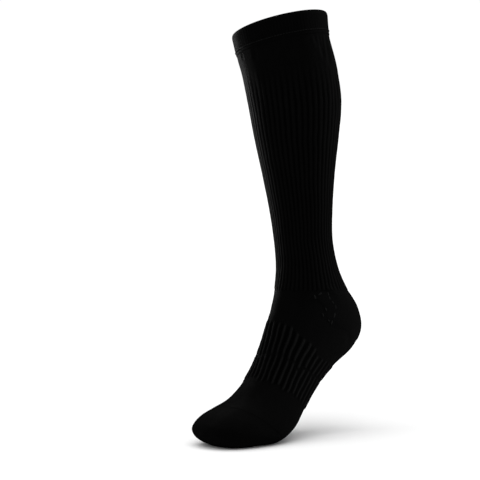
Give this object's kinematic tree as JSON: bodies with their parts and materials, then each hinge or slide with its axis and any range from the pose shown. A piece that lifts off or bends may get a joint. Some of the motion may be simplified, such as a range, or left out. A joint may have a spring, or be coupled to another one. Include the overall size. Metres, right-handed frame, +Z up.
{
  "type": "compression stocking",
  "caption": "Knee-high ribbed compression stocking, filled out on tiptoe with an open mouth, a turned top band, a rounded heel and a closed toe.",
  "frame": {"origin": "middle of the mouth, where the wearer's leg goes in and holds the stocking up", "axes": "+Z up the leg, -Y towards the toes, +X towards the outer side that faces the viewer"},
  "size_m": [0.1111, 0.2484, 0.4902],
  "materials": {
    "compression_knit": "near-black fine ribbed knit, dry and matt",
    "band_knit": "near-black smooth doubled knit, matt"
  },
  "bodies": {
    "root": {"top_band": "band_knit", "leg": "compression_knit", "foot": "compression_knit", "toe": "compression_knit"}
  },
  "joints": []
}
